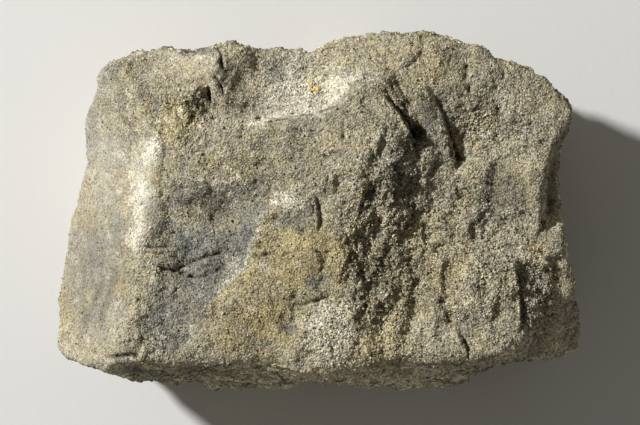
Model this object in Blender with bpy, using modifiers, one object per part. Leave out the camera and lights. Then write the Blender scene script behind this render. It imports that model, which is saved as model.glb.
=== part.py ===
"""Sandstone hand specimen: one solid piece of stone, lying on the flat bedding face at its back.

Run it with blender --background --python part.py, or from Blender's text editor. The model is in metres, +Z up.
The face that shows best looks up (+Z), with its long side along X. The origin is in the middle of the stone's
box, on the surface that the stone lies on. Places on the stone are written in millimetres, and the stone is
worked in millimetres until it is scaled at the end.
"""

from dataclasses import dataclass

import bmesh
import bpy
import numpy as np
from mathutils import Vector, noise

MM = 0.001
NAME = "sandstone_rock"

# Driving sizes
BED_LEVEL = 44.6
LOWEST_RIM = 11.0
BASE_CUT = 0.6

# How finely the stone is worked
HALVINGS = 7
VOXEL = 0.85
MOST_TRIANGLES = 9400

# The widest line round the stone, seen from above, clockwise from the lower left corner
OUTLINE = (
    (-52.0, -27.6), (-51.8, -21.4), (-52.9, -17.8), (-52.0, -14.6), (-50.9, -11.2), (-50.2, -6.6),
    (-49.6, -0.8), (-48.2, 1.6), (-48.3, 3.6), (-47.2, 6.6), (-46.1, 10.0), (-46.4, 14.6),
    (-47.0, 18.4), (-45.4, 21.8), (-43.9, 25.0), (-44.0, 27.6), (-41.6, 30.0), (-37.6, 30.4),
    (-33.8, 32.1), (-31.0, 32.6), (-24.8, 31.6), (-20.2, 32.6), (-14.6, 32.5), (-9.6, 32.1),
    (-4.0, 31.8), (-2.2, 31.2), (0.2, 32.0), (1.6, 33.4), (5.6, 34.8), (11.4, 36.0),
    (20.0, 36.0), (24.6, 35.6), (28.8, 33.4), (31.8, 32.9), (34.2, 31.6), (35.4, 30.2),
    (38.2, 29.5), (42.0, 28.4), (45.8, 26.5), (48.4, 23.6), (50.2, 21.2), (50.6, 19.4),
    (50.0, 17.0), (49.2, 14.0), (48.8, 9.6), (48.3, 5.0), (48.7, 1.0), (48.8, -4.0),
    (49.4, -9.0), (50.7, -12.6), (51.2, -18.6), (52.3, -20.8), (52.3, -25.4), (50.4, -28.2),
    (46.2, -29.6), (39.4, -30.2), (35.2, -30.2), (33.2, -31.2), (31.4, -32.8), (25.0, -35.3),
    (18.0, -34.9), (12.0, -34.9), (6.0, -34.2), (-2.6, -34.0), (-5.2, -34.9), (-13.0, -35.4),
    (-16.9, -36.5), (-18.8, -35.8), (-22.0, -35.6), (-25.2, -34.4), (-31.2, -34.9), (-36.2, -34.5),
    (-39.6, -33.0), (-46.6, -30.8), (-50.6, -29.2),
)

# The edge of the flat face that it lies on, in the same order
FOOTPRINT = (
    (-46.0, -25.0), (-47.0, -9.0), (-43.5, 6.0), (-41.0, 19.0), (-36.0, 27.5), (-20.0, 29.5),
    (-3.0, 27.5), (14.0, 31.0), (28.0, 29.5), (40.0, 24.0), (44.5, 12.0), (43.0, -3.0),
    (46.5, -14.0), (45.0, -24.0), (34.0, -26.5), (20.0, -30.5), (2.0, -31.0), (-16.0, -32.0),
    (-34.0, -30.0),
)


@dataclass
class Face:
    """A broken face that falls away beyond a line, on the right hand of someone who walks along it.

    fall is the height lost for each millimetre beyond the line, and brow is the width of its rounded edge.
    """

    line: tuple
    fall: float
    brow: float = 1.2


@dataclass
class Ledge:
    """A step down on the right hand of a line, drop high and width wide.

    The ground beyond it comes back over run. fade_in and fade_out are the shares of the line over which the
    step grows from its first point and dies at its last, and least is the share of the drop that is left there.
    """

    line: tuple
    drop: float
    width: float = 0.8
    run: float = 8.0
    fade_in: float = 0.3
    fade_out: float = 0.3
    least: float = 0.0


@dataclass
class Hollow:
    """A rounded dish, or a rounded lump where depth is negative. turn is in degrees."""

    centre: tuple
    radii: tuple
    depth: float
    turn: float = 0.0


# Broken faces that fall from the upper face towards the widest line
FACES = (
    # Left side, the largest and smoothest of them
    Face(
        line=(
            (-44.0, 36.0), (-38.6, 28.4), (-35.4, 22.0), (-33.4, 14.4), (-34.0, 6.0), (-35.8, -5.6),
            (-36.4, -12.0), (-37.2, -20.0), (-39.6, -27.0), (-42.5, -36.0),
        ),
        fall=1.5,
        brow=1.0,
    ),
    # Long steep foot, with the beds' edges showing in it
    Face(
        line=(
            (-56.0, -28.0), (-48.0, -29.2), (-44.4, -28.9), (-41.6, -31.0), (-39.6, -30.0), (-28.0, -30.4),
            (-20.0, -29.9), (-12.0, -29.8), (-6.0, -31.0), (2.0, -32.2), (8.8, -31.0), (14.4, -29.9),
            (24.0, -30.0), (30.4, -29.9), (34.4, -29.0), (44.0, -28.4), (60.0, -24.0),
        ),
        fall=4.4,
        brow=0.7,
    ),
    # Lower right corner
    Face(
        line=(
            (26.0, -34.5), (34.4, -29.4), (37.4, -27.6), (41.2, -25.4), (42.4, -22.6), (45.4, -20.0),
            (48.4, -18.0), (56.0, -15.0),
        ),
        fall=1.75,
        brow=1.0,
    ),
)
TOP_LEFT_FACE = Face(
    line=((-14.0, 31.0), (-19.6, 28.6), (-22.6, 25.6), (-27.0, 24.6), (-31.0, 23.8), (-35.4, 23.9), (-46.0, 30.0)),
    fall=0.8,
    brow=0.8,
)
DOME_FACE = Face(
    line=(
        (60.0, 2.0), (51.5, 13.0), (47.5, 19.0), (40.0, 23.4), (32.0, 26.6), (24.0, 29.0),
        (14.0, 29.6), (4.0, 28.6), (-8.0, 28.0), (-20.0, 29.6), (-40.0, 34.0),
    ),
    fall=0.75,
    brow=5.0,
)
FACE_JOINT, JOINT_WIDTH = -19.2, 1.4

# Wide falls of the upper face
EAST_FALL = Ledge(
    line=(
        (14.8, -42.0), (14.6, -26.0), (14.0, -16.0), (13.6, -6.0), (16.2, 4.0), (20.4, 12.4), (24.0, 22.4),
        (23.0, 42.0),
    ),
    drop=4.6, width=17.0, run=1000.0, fade_in=0.5, fade_out=0.4, least=0.2,
)
CORNER_FALL = Ledge(
    line=((45.0, -34.0), (45.4, -24.0), (46.0, -16.0), (46.4, -9.0), (50.0, -4.0), (56.0, -2.0)),
    drop=4.4, width=11.0, run=1000.0, fade_in=0.2, fade_out=0.5,
)

LEDGES = (
    # Two steps near the top right
    Ledge(
        line=(
            (19.6, 9.8), (19.0, 12.6), (18.7, 15.0), (17.8, 17.4), (16.4, 19.2), (14.8, 21.0),
            (13.0, 23.4), (11.0, 26.8),
        ),
        drop=3.1, width=0.7, run=6.5, fade_in=0.18, fade_out=0.75,
    ),
    Ledge(
        line=(
            (27.4, 8.0), (27.4, 11.0), (26.6, 13.8), (25.8, 16.4), (24.6, 19.6), (23.4, 22.2),
            (21.8, 24.6), (19.8, 26.8),
        ),
        drop=2.4, width=0.7, run=5.0, fade_in=0.15, fade_out=0.9,
    ),
    Ledge(
        line=((18.6, 19.2), (17.4, 21.0), (15.8, 23.6), (14.2, 26.6)),
        drop=0.9, width=0.5, run=2.5,
    ),
    # A small step on the dome
    Ledge(
        line=((14.2, 28.2), (17.0, 28.8), (19.4, 30.8), (21.6, 33.4)),
        drop=0.8, width=0.6, run=4.0,
    ),
    # The pale rim of the scooped hollow
    Ledge(
        line=(
            (13.6, 27.8), (10.8, 26.4), (7.6, 24.6), (4.8, 22.0), (2.4, 20.4), (-3.6, 18.9),
            (-11.2, 17.6), (-17.6, 16.4),
        ),
        drop=1.9, width=1.4, run=10.0, fade_in=0.3, fade_out=0.4,
    ),
    # The crumbled hollow's left wall, under the top left face
    Ledge(
        line=((-20.6, 15.0), (-24.0, 17.6), (-26.0, 21.0), (-25.4, 24.0), (-22.8, 25.4), (-20.2, 28.0)),
        drop=1.0, width=1.1, run=6.0, fade_in=0.5, fade_out=0.3,
    ),
    # The brown bed's right edge, over the dark slope
    Ledge(
        line=((10.6, -21.0), (9.8, -17.4), (8.8, -13.4), (7.6, -9.8), (5.8, -6.4), (4.6, -1.6)),
        drop=0.9, width=0.9, run=5.0, fade_in=0.5, fade_out=0.3,
    ),
    # A short upright step in the middle, and one above it
    Ledge(line=((-0.4, -4.2), (0.2, -1.8), (-0.1, 1.0), (-0.8, 3.8)), drop=1.2, width=0.5, run=2.6),
    Ledge(line=((3.0, 2.6), (3.6, 5.4), (3.2, 8.0)), drop=0.7, width=0.5, run=2.4),
    # A slot over the white patch
    Ledge(line=((-6.8, -18.6), (-2.0, -17.8), (3.6, -16.0)), drop=0.9, width=0.6, run=3.0),
    # The step round a loose flake low on the right
    Ledge(
        line=((30.6, -29.6), (29.6, -27.0), (28.8, -25.2), (27.8, -23.6), (27.0, -20.4)),
        drop=1.0, width=0.6, run=3.4,
    ),
    # The dark recess near the right side
    Ledge(
        line=((39.4, -26.0), (40.2, -22.0), (40.4, -17.0), (40.2, -12.0), (39.6, -8.2)),
        drop=1.5, width=1.0, run=5.0,
    ),
    # A crevice right of the middle
    Ledge(
        line=((37.4, 0.4), (35.0, -0.8), (33.6, -2.6), (33.0, -5.6), (33.6, -8.6)),
        drop=0.9, width=0.8, run=4.0,
    ),
    # The plate's edge over the recess in the right side
    Ledge(
        line=(
            (46.6, -6.6), (45.0, -3.6), (44.7, 0.2), (45.2, 4.4), (46.0, 8.4), (47.2, 12.2), (49.4, 16.2),
            (53.0, 20.5),
        ),
        drop=7.5, width=1.2, run=60.0, fade_in=0.25, fade_out=0.4,
    ),
)

HOLLOWS = (
    # The scooped hollow at the top and the crumbled one beside it
    Hollow(centre=(-7.4, 25.4), radii=(14.5, 9.0), depth=2.6, turn=8.0),
    Hollow(centre=(-22.6, 22.4), radii=(3.4, 4.0), depth=0.9),
    Hollow(centre=(-21.8, 23.2), radii=(1.2, 2.2), depth=1.4),
    # The grey bed, left of the brown one
    Hollow(centre=(-23.6, -6.4), radii=(12.5, 14.0), depth=1.9, turn=-15.0),
    Hollow(centre=(-29.5, -22.0), radii=(7.0, 8.0), depth=0.8),
    # Hollows in the falling right half
    Hollow(centre=(10.8, 3.6), radii=(3.6, 1.4), depth=0.7, turn=38.0),
    Hollow(centre=(11.5, -4.0), radii=(4.0, 8.0), depth=0.6, turn=-6.0),
    Hollow(centre=(18.0, -21.0), radii=(4.0, 7.0), depth=0.6, turn=-8.0),
    Hollow(centre=(32.4, 16.0), radii=(6.5, 5.5), depth=1.2, turn=20.0),
    Hollow(centre=(26.0, -22.4), radii=(2.2, 4.6), depth=1.2, turn=6.0),
    Hollow(centre=(38.5, 11.0), radii=(5.0, 8.0), depth=0.8, turn=-10.0),
    # Dents in the brown and white part
    Hollow(centre=(0.0, -13.8), radii=(3.0, 2.2), depth=0.9),
    Hollow(centre=(-5.4, -23.0), radii=(2.4, 2.4), depth=0.9),
    Hollow(centre=(-38.6, -27.6), radii=(4.0, 3.4), depth=0.9),
    # Lumps
    Hollow(centre=(-5.4, 1.6), radii=(5.0, 3.6), depth=-1.0, turn=15.0),
    Hollow(centre=(-1.4, -8.6), radii=(8.0, 9.5), depth=-1.0, turn=15.0),
    Hollow(centre=(3.0, -24.0), radii=(9.0, 7.0), depth=-0.7),
    Hollow(centre=(7.0, 12.0), radii=(10.0, 9.0), depth=-0.8),
    Hollow(centre=(-21.0, 8.0), radii=(11.0, 8.0), depth=-0.8, turn=10.0),
    Hollow(centre=(47.0, -7.0), radii=(4.0, 2.2), depth=-0.6),
    Hollow(centre=(33.0, -14.0), radii=(8.0, 9.0), depth=-0.7),
    Hollow(centre=(-44.0, -6.0), radii=(6.0, 11.0), depth=-0.8),
)

# Broken faces under the widest line: compass angle in degrees, how far inside the widest line the face is at
# MIDDLE height, and how far it leans under
MIDDLE = 15.0
UNDER_FACES = (
    (6.0, 2.4, 16.0), (48.0, 4.5, 13.0), (83.0, 2.2, 8.0), (110.0, 2.6, 12.0), (142.0, 5.0, 20.0),
    (176.0, 2.8, 12.0), (206.0, 4.5, 21.0), (240.0, 2.6, 10.0), (264.0, 1.8, 7.0), (286.0, 2.4, 14.0),
    (320.0, 4.0, 17.0), (346.0, 2.4, 11.0),
)

# Shares of the way from the top of the stone to the middle of its underside: where the upper face ends and where
# the sides end. FOOT_CURVE draws the sides in late, and UNDER_START is the share of the sides over which the
# faces under the widest line begin.
TOP_END, SIDE_END = 0.56, 0.86
FOOT_CURVE = 1.6
UNDER_START = 0.15

# Roughness of the broken stone: wavelength and height of each swell, less on the smooth side left of LEFT_EDGE,
# and nothing on the underside, up to CLEAR_HEIGHT
SWELLS = ((15.0, 0.9), (7.0, 0.55), (3.2, 0.4))
SMOOTH_LEFT = 0.45
LEFT_EDGE, LEFT_JOINT = -36.0, 4.0
CLEAR_HEIGHT = 3.0

# Upright ribs and furrows in the falling right half
RIB_LENGTH, RIB_WIDTH, RIB_HEIGHT, RIB_TURN = 10.0, 2.7, 1.1, -12.0
RIB_AREA = Hollow(centre=(20.0, -6.0), radii=(21.0, 30.0), depth=1.0, turn=-8.0)

# Thin beds, which lie flat: they step the upper face and groove the sides
BED_THICKNESS = 1.7
BED_STEP = 0.55
BED_GROOVE = 0.7
BED_WANDER, WANDER_LENGTH = 1.6, 19.0
BED_PATCH = 8.0

STONE_COLOUR = (0.33, 0.29, 0.20, 1.0)
STONE_ROUGHNESS = 0.92


def ease(value):
    """0 to 1 with level ends."""
    held = np.clip(value, 0.0, 1.0)
    return held * held * (3.0 - 2.0 * held)


def beside(x, y, line):
    """How far each place lies to the right of a line of points, and the share of the line next to it."""
    corners = np.array(line, float)
    lengths = np.linalg.norm(np.diff(corners, axis=0), axis=1)
    starts = np.concatenate([[0.0], np.cumsum(lengths)])
    nearest = np.full(x.shape, np.inf)
    signed = np.zeros(x.shape)
    along = np.zeros(x.shape)
    for start, end, length, behind in zip(corners[:-1], corners[1:], lengths, starts):
        ahead = (end - start) / length
        dx, dy = x - start[0], y - start[1]
        walked = np.clip(dx * ahead[0] + dy * ahead[1], 0.0, length)
        away = np.hypot(dx - walked * ahead[0], dy - walked * ahead[1])
        closer = away < nearest
        side = np.where(dx * ahead[1] - dy * ahead[0] >= 0.0, 1.0, -1.0)
        nearest = np.where(closer, away, nearest)
        signed = np.where(closer, side * away, signed)
        along = np.where(closer, (behind + walked) / starts[-1], along)
    return signed, along


def below_face(x, y, face):
    """The height lost beyond a face's line, with a rounded brow."""
    beyond, _ = beside(x, y, face.line)
    return face.fall * 0.5 * (beyond + np.sqrt(beyond * beyond + face.brow * face.brow))


def below_ledge(x, y, ledge):
    """The height lost at a ledge."""
    beyond, along = beside(x, y, ledge.line)
    held = ease(along / ledge.fade_in) * ease((1.0 - along) / ledge.fade_out)
    strength = ledge.least + (1.0 - ledge.least) * held
    step = ease(beyond / ledge.width + 0.5)
    return ledge.drop * strength * step * np.exp(-np.maximum(beyond, 0.0) / ledge.run)


def inside_hollow(x, y, hollow):
    """1 in the middle of a hollow's oval, easing to 0 at its rim."""
    turn = np.radians(hollow.turn)
    dx, dy = x - hollow.centre[0], y - hollow.centre[1]
    across = (dx * np.cos(turn) + dy * np.sin(turn)) / hollow.radii[0]
    up = (dy * np.cos(turn) - dx * np.sin(turn)) / hollow.radii[1]
    return ease(1.0 - across * across - up * up)


def upper_height(x, y):
    """The height of everything that shows from above."""
    height = np.full(x.shape, BED_LEVEL)
    for ledge in (EAST_FALL, CORNER_FALL, *LEDGES):
        height -= below_ledge(x, y, ledge)
    for hollow in HOLLOWS:
        height -= hollow.depth * inside_hollow(x, y, hollow)
    right = ease((x - FACE_JOINT) / JOINT_WIDTH + 0.5)
    lost = below_face(x, y, TOP_LEFT_FACE) * (1.0 - right) + below_face(x, y, DOME_FACE) * right
    for face in FACES:
        lost = np.maximum(lost, below_face(x, y, face))
    return height - lost


def reach(angles, outline):
    """How far a closed outline lies from the origin at each angle."""
    points = np.array(outline, float)
    around = np.arctan2(points[:, 1], points[:, 0])
    order = np.argsort(around)
    around, far = around[order], np.hypot(points[:, 0], points[:, 1])[order]
    around = np.concatenate([around - 2.0 * np.pi, around, around + 2.0 * np.pi])
    far = np.tile(far, 3)
    after = np.searchsorted(around, angles, side="right")
    a0, a1, r0, r1 = around[after - 1], around[after], far[after - 1], far[after]
    return r0 * r1 * np.sin(a1 - a0) / (r0 * np.sin(angles - a0) + r1 * np.sin(a1 - angles))


def lay_over_stone(sphere):
    """Move a unit sphere's points: its top on the upper face, then the sides, then the flat underside."""
    angles = np.arctan2(sphere[:, 1], sphere[:, 0])
    share = np.arccos(np.clip(sphere[:, 2], -1.0, 1.0)) / np.pi
    out = np.clip(share / TOP_END, 0.0, 1.0)
    down = np.clip((share - TOP_END) / (SIDE_END - TOP_END), 0.0, 1.0)
    under = np.clip((share - SIDE_END) / (1.0 - SIDE_END), 0.0, 1.0)
    rim, foot = reach(angles, OUTLINE), reach(angles, FOOTPRINT)
    cos, sin = np.cos(angles), np.sin(angles)
    rim_height = np.maximum(upper_height(rim * cos, rim * sin), LOWEST_RIM)
    far = np.where(share < TOP_END, out * rim, rim + (foot - rim) * down**FOOT_CURVE) * (1.0 - under)
    x, y = far * cos, far * sin
    top = np.maximum(upper_height(x, y), LOWEST_RIM)
    z = np.where(share < TOP_END, top, rim_height * (1.0 - down))
    places = np.stack([x, y, z], axis=1)
    hold = ease(down / UNDER_START)
    corners = np.array(OUTLINE)
    for compass, inset, lean in UNDER_FACES:
        a, t = np.radians(compass), np.radians(lean)
        out_of_face = np.array((np.cos(a) * np.cos(t), np.sin(a) * np.cos(t), -np.sin(t)))
        distance = np.max(corners @ np.array((np.cos(a), np.sin(a)))) - inset
        limit = distance * np.cos(t) - MIDDLE * np.sin(t)
        over = np.maximum(places @ out_of_face - limit, 0.0) * hold
        places[:, 0] -= over * np.cos(a)
        places[:, 1] -= over * np.sin(a)
    return places


def points_of(mesh):
    places = np.empty(len(mesh.vertices) * 3)
    mesh.vertices.foreach_get("co", places)
    return places.reshape(-1, 3)


def place_points(mesh, places):
    mesh.vertices.foreach_set("co", places.ravel())
    mesh.update()


def cube():
    made = bmesh.new()
    bmesh.ops.create_cube(made, size=2.0)
    mesh = bpy.data.meshes.new(NAME)
    made.to_mesh(mesh)
    made.free()
    return mesh


def form_block(stone):
    """The stone's main form, laid over a finely divided cube that is blown up to a sphere."""
    mesh = worked(stone, "SUBSURF", subdivision_type="SIMPLE", levels=HALVINGS, render_levels=HALVINGS)
    places = np.tan(points_of(mesh) * np.pi / 4.0)
    places /= np.linalg.norm(places, axis=1)[:, None]
    place_points(mesh, lay_over_stone(places))


def swells(places):
    """Uneven ground at several sizes, from -1 to 1 times each height."""
    total = np.zeros(len(places))
    for number, (length, height) in enumerate(SWELLS):
        shift = Vector((31.0 + 17.0 * number, 5.0, 11.0))
        total += height * np.array([noise.noise(Vector(place) / length + shift) for place in places])
    return total


def ribs(places):
    """Long narrow ridges that run up the falling right half."""
    turn = np.radians(RIB_TURN)
    x, y = places[:, 0], places[:, 1]
    across = (x * np.cos(turn) + y * np.sin(turn)) / RIB_WIDTH
    up = (y * np.cos(turn) - x * np.sin(turn)) / RIB_LENGTH
    wave = np.array([noise.noise(Vector((a, b, 3.0))) for a, b in zip(across, up)])
    return RIB_HEIGHT * wave * inside_hollow(x, y, RIB_AREA)


def roughen(mesh):
    """Swells and ribs all over but the underside, then the steps and grooves of the beds."""
    places, normals = points_of(mesh), np.empty(len(mesh.vertices) * 3)
    mesh.vertex_normals.foreach_get("vector", normals)
    normals = normals.reshape(-1, 3)
    above = ease(places[:, 2] / CLEAR_HEIGHT)
    facing_up = ease((normals[:, 2] - 0.2) / 0.5)
    left = ease((LEFT_EDGE - places[:, 0]) / LEFT_JOINT)
    push = swells(places) * (1.0 - (1.0 - SMOOTH_LEFT) * left) + ribs(places) * facing_up
    places += normals * (push * above)[:, None]
    wander = np.array([noise.noise(Vector(place) / WANDER_LENGTH) for place in places])
    bed = places[:, 2] / BED_THICKNESS + wander * BED_WANDER
    part = bed - np.floor(bed)
    places[:, 2] += facing_up * BED_STEP * (ease(part * 1.6 - 0.3) - part) * above
    groove = BED_GROOVE * (np.abs(part - 0.5) * 2.0 - 0.5) * above * (1.0 - facing_up)
    patchy = ease(0.5 + np.array([noise.noise(Vector(place) / BED_PATCH) for place in places]))
    places -= normals * (groove * patchy)[:, None] * np.array((1.0, 1.0, 0.0))
    place_points(mesh, places)


def worked(obj, kind, **settings):
    """The object's mesh after one modifier, which becomes its own."""
    modifier = obj.modifiers.new(kind.title(), kind)
    for name, value in settings.items():
        setattr(modifier, name, value)
    graph = bpy.context.evaluated_depsgraph_get()
    mesh = bpy.data.meshes.new_from_object(obj.evaluated_get(graph))
    obj.modifiers.clear()
    obj.data = mesh
    return mesh


def flatten_base(mesh):
    """Cut the underside level, close it with one flat face and stand the stone on it."""
    made = bmesh.new()
    made.from_mesh(mesh)
    whole = list(made.verts) + list(made.edges) + list(made.faces)
    bmesh.ops.bisect_plane(
        made, geom=whole, dist=1e-4, plane_co=(0.0, 0.0, BASE_CUT), plane_no=(0.0, 0.0, -1.0), clear_outer=True
    )
    bmesh.ops.holes_fill(made, edges=[edge for edge in made.edges if edge.is_boundary], sides=0)
    lows = [min(vertex.co[axis] for vertex in made.verts) for axis in range(3)]
    highs = [max(vertex.co[axis] for vertex in made.verts) for axis in range(3)]
    middle = Vector(((lows[0] + highs[0]) / 2.0, (lows[1] + highs[1]) / 2.0, lows[2]))
    for vertex in made.verts:
        vertex.co = (vertex.co - middle) * MM
    bmesh.ops.recalc_face_normals(made, faces=made.faces)
    made.to_mesh(mesh)
    made.free()


def stone_material():
    material = bpy.data.materials.new("sandstone")
    material.use_nodes = True
    shader = material.node_tree.nodes["Principled BSDF"]
    shader.inputs["Base Color"].default_value = STONE_COLOUR
    shader.inputs["Roughness"].default_value = STONE_ROUGHNESS
    shader.inputs["Metallic"].default_value = 0.0
    return material


def build_stone():
    stone = bpy.data.objects.new(NAME, cube())
    group = bpy.data.collections.new("Sandstone rock")
    bpy.context.scene.collection.children.link(group)
    group.objects.link(stone)
    form_block(stone)
    mesh = worked(stone, "REMESH", mode="VOXEL", voxel_size=VOXEL)
    roughen(mesh)
    triangles = sum(len(face.vertices) - 2 for face in mesh.polygons)
    mesh = worked(stone, "DECIMATE", ratio=MOST_TRIANGLES / triangles)
    flatten_base(mesh)
    mesh.name = NAME
    mesh.materials.append(stone_material())
    mesh.shade_smooth()
    return stone


def main():
    for obj in list(bpy.data.objects):
        bpy.data.objects.remove(obj)
    build_stone()


if __name__ == "__main__":
    main()
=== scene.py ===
"""Dress a sandstone hand specimen: its broken, granular surface, its sand grains and a pale table to lie on.

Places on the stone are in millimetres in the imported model's own frame: X along the long side, Y towards the
scooped edge, Z up out of the face that shows best. Meshes are worked in millimetres and end up in metres.
"""

from dataclasses import dataclass
from itertools import product
from math import cos, radians, sin

import bmesh
import bpy
import numpy as np
from bpy.props import FloatProperty, FloatVectorProperty, IntProperty, PointerProperty
from mathutils import Matrix, Vector, noise


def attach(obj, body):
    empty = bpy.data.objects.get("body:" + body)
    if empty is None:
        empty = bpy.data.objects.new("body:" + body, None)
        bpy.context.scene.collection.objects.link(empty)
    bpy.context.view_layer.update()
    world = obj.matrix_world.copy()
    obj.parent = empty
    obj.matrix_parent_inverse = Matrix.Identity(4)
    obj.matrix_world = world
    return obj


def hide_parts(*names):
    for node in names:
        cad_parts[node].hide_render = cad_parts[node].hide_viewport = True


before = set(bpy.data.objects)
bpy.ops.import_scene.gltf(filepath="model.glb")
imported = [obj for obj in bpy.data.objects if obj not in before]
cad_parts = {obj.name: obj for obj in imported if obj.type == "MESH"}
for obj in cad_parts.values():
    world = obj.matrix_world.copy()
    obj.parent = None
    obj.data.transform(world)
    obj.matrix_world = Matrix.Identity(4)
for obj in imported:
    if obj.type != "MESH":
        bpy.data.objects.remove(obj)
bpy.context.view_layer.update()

bl_info = {
    "name": "Sandstone specimen",
    "version": (1, 0, 0),
    "blender": (4, 5, 0),
    "location": "3D View > Sidebar > Sandstone",
    "description": "Builds the broken surface, the loose grains and the stage of a sandstone hand specimen",
    "category": "Object",
}

MM = 0.001
NODE = "sandstone_rock"


# Shapes that are drawn on the stone


@dataclass
class Oval:
    """A soft-edged patch. share is its strength in the middle, and turn is in degrees."""

    centre: tuple
    radii: tuple
    share: float = 1.0
    turn: float = 0.0


@dataclass
class Crack:
    """An open crack, which is as wide and as deep as given and dies out at both ends."""

    line: tuple
    width: float
    depth: float


@dataclass
class Ledge:
    """A broken step down on the right hand of a line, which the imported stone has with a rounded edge."""

    line: tuple
    drop: float
    fade_in: float = 0.3
    fade_out: float = 0.3
    undercut: float = 0.0


LEDGES = (
    # Two steps near the top right
    Ledge(
        line=(
            (19.6, 9.8), (19.0, 12.6), (18.7, 15.0), (17.8, 17.4), (16.4, 19.2), (14.8, 21.0),
            (13.0, 23.4), (11.0, 26.8),
        ),
        drop=3.1, fade_in=0.18, fade_out=0.75, undercut=1.2,
    ),
    Ledge(
        line=(
            (27.4, 8.0), (27.4, 11.0), (26.6, 13.8), (25.8, 16.4), (24.6, 19.6), (23.4, 22.2),
            (21.8, 24.6), (19.8, 26.8),
        ),
        drop=2.4, fade_in=0.15, fade_out=0.9, undercut=0.9,
    ),
    # The edges of the top left face
    Ledge(line=((-34.2, 24.6), (-36.0, 25.8), (-37.6, 27.4), (-40.2, 30.4)), drop=0.5, fade_in=0.15),
    Ledge(
        line=((-35.0, 24.8), (-30.6, 24.7), (-26.6, 25.4), (-23.6, 26.4), (-20.2, 28.2)),
        drop=0.5, fade_in=0.15, fade_out=0.15,
    ),
    # The right side of the bright ridge
    Ledge(
        line=((-31.8, -2.0), (-31.0, 1.0), (-31.6, 5.0), (-30.8, 9.0), (-30.6, 13.0), (-32.4, 18.0)),
        drop=0.4,
    ),
    # A small step on the dome
    Ledge(line=((14.2, 28.2), (17.0, 28.8), (19.4, 30.8), (21.6, 33.4)), drop=0.5),
    # The pale rim of the scooped hollow
    Ledge(
        line=(
            (13.6, 27.8), (10.8, 26.4), (7.6, 24.6), (4.8, 22.0), (2.4, 20.4), (-3.6, 18.9),
            (-11.2, 17.6), (-17.6, 16.4),
        ),
        drop=1.3, fade_in=0.3, fade_out=0.4,
    ),
    # The brown bed's right edge, over the dark slope
    Ledge(
        line=((10.6, -21.0), (9.8, -17.4), (8.8, -13.4), (7.6, -9.8), (5.8, -6.4), (4.6, -1.6)),
        drop=1.0, fade_in=0.5, fade_out=0.3, undercut=0.2,
    ),
    # A short upright step in the middle, and one above it
    Ledge(line=((-0.4, -4.2), (0.2, -1.8), (-0.1, 1.0), (-0.8, 3.8)), drop=1.0, undercut=0.2),
    Ledge(line=((3.0, 2.6), (3.6, 5.4), (3.2, 8.0)), drop=0.5),
    # A slot over the white patch
    Ledge(line=((-6.8, -18.6), (-2.0, -17.8), (3.6, -16.0)), drop=0.5, undercut=0.15),
    # The step round a loose flake low on the right
    Ledge(
        line=((30.6, -29.6), (29.6, -27.0), (28.8, -25.2), (27.8, -23.6), (27.0, -20.4)),
        drop=0.8, undercut=0.15,
    ),
    # The dark recess near the right side
    Ledge(
        line=((39.4, -25.0), (40.4, -22.0), (40.2, -17.0), (39.4, -12.0), (39.0, -8.2)),
        drop=2.0, undercut=0.4,
    ),
    # A crevice right of the middle
    Ledge(
        line=((37.4, 0.4), (35.0, -0.8), (33.6, -2.6), (33.0, -5.6), (33.6, -8.6)),
        drop=0.9, undercut=0.4,
    ),
)

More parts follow.
